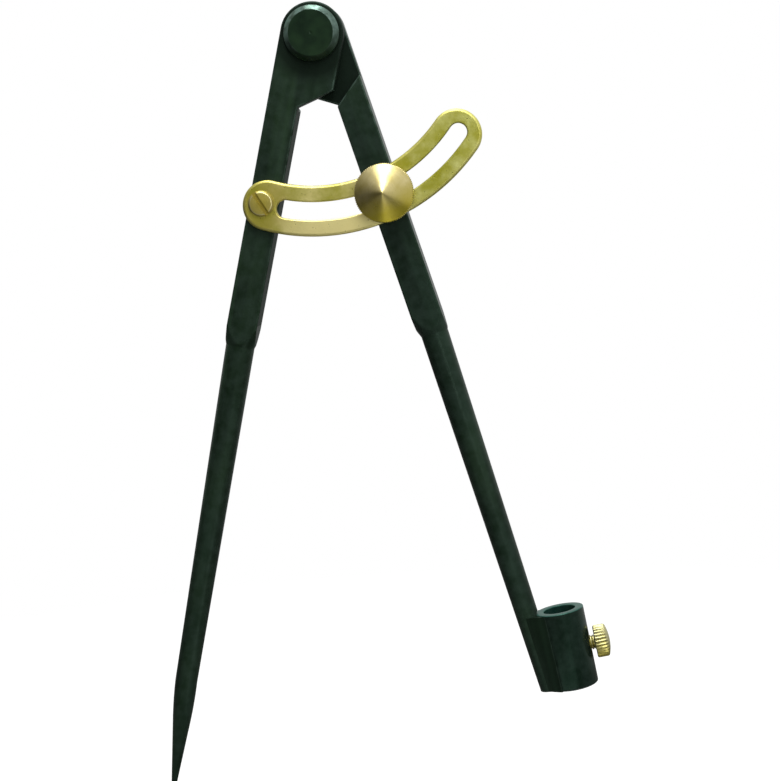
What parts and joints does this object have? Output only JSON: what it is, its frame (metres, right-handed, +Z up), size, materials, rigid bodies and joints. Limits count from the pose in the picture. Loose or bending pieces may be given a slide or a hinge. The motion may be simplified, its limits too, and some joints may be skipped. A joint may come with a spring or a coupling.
{
  "type": "pencil compass",
  "caption": "Wing compass of dark steel: riveted half-lap hinge, one leg drawn to a point, the other with a thumbscrew pencil tube, and a slotted brass wing with a cone clamp nut.",
  "frame": {"origin": "middle of the hinge, on the rivet's axis and in the middle of the bars' thickness", "axes": "+Z up along the line that halves the legs' opening, -Y out of the front, where the wing lies, and +X towards the pencil leg"},
  "size_m": [0.1205, 0.0219, 0.2096],
  "materials": {
    "black_steel": "blackened steel with a green cast, satin",
    "rivet_steel": "blackened steel with a green cast, ground flat",
    "wing_brass": "tumbled sheet with fine dark pits",
    "screw_brass": "turned, a little tarnished",
    "nut_brass": "lathe turned, bright",
    "thumb_brass": "knurled, bright"
  },
  "bodies": {
    "point_side": {"point_leg": "black_steel", "hinge_rivet": "rivet_steel", "hinge_washer": "rivet_steel", "wing": "wing_brass", "wing_screw": "screw_brass"},
    "pencil_side": {"pencil_leg": "black_steel", "pencil_socket": "black_steel", "clamp_stud": "screw_brass"},
    "clamp_washer_body": {"clamp_washer": "screw_brass"},
    "clamp_nut_body": {"clamp_nut": "nut_brass"},
    "thumbscrew_stem": {"pencil_screw_stem": "screw_brass"},
    "thumbscrew_head": {"pencil_screw_head": "thumb_brass"}
  },
  "joints": [
    {"name": "leg_hinge", "type": "hinge", "parent": "point_side", "child": "pencil_side", "pos_m": [0, 0, 0], "axis": [0, -1, 0], "range_deg": [-29.6, 30.6]},
    {"name": "clamp_washer_travel", "type": "slide", "parent": "pencil_side", "child": "clamp_washer_body", "axis": [0, -1, 0], "range_m": [0, 0.00319]},
    {"name": "clamp_nut_turn", "type": "hinge", "parent": "clamp_washer_body", "child": "clamp_nut_body", "pos_m": [0.01592, -0.0075, -0.04161], "axis": [0, -1, 0], "range_deg": [0, 1440]},
    {"name": "thumbscrew_travel", "type": "slide", "parent": "pencil_side", "child": "thumbscrew_stem", "axis": [0.9905, 0, 0.1374], "range_m": [-0.00104, 0.00139]},
    {"name": "thumbscrew_turn", "type": "hinge", "parent": "thumbscrew_stem", "child": "thumbscrew_head", "pos_m": [0.05464, 0, -0.16341], "axis": [0.9905, 0, 0.1374], "range_deg": [-540, 720]}
  ],
  "couplings": [
    {"joint": "clamp_nut_turn", "follows": "clamp_washer_travel", "rad_per_m": 7854},
    {"joint": "thumbscrew_turn", "follows": "thumbscrew_travel", "rad_per_m": 8976}
  ]
}
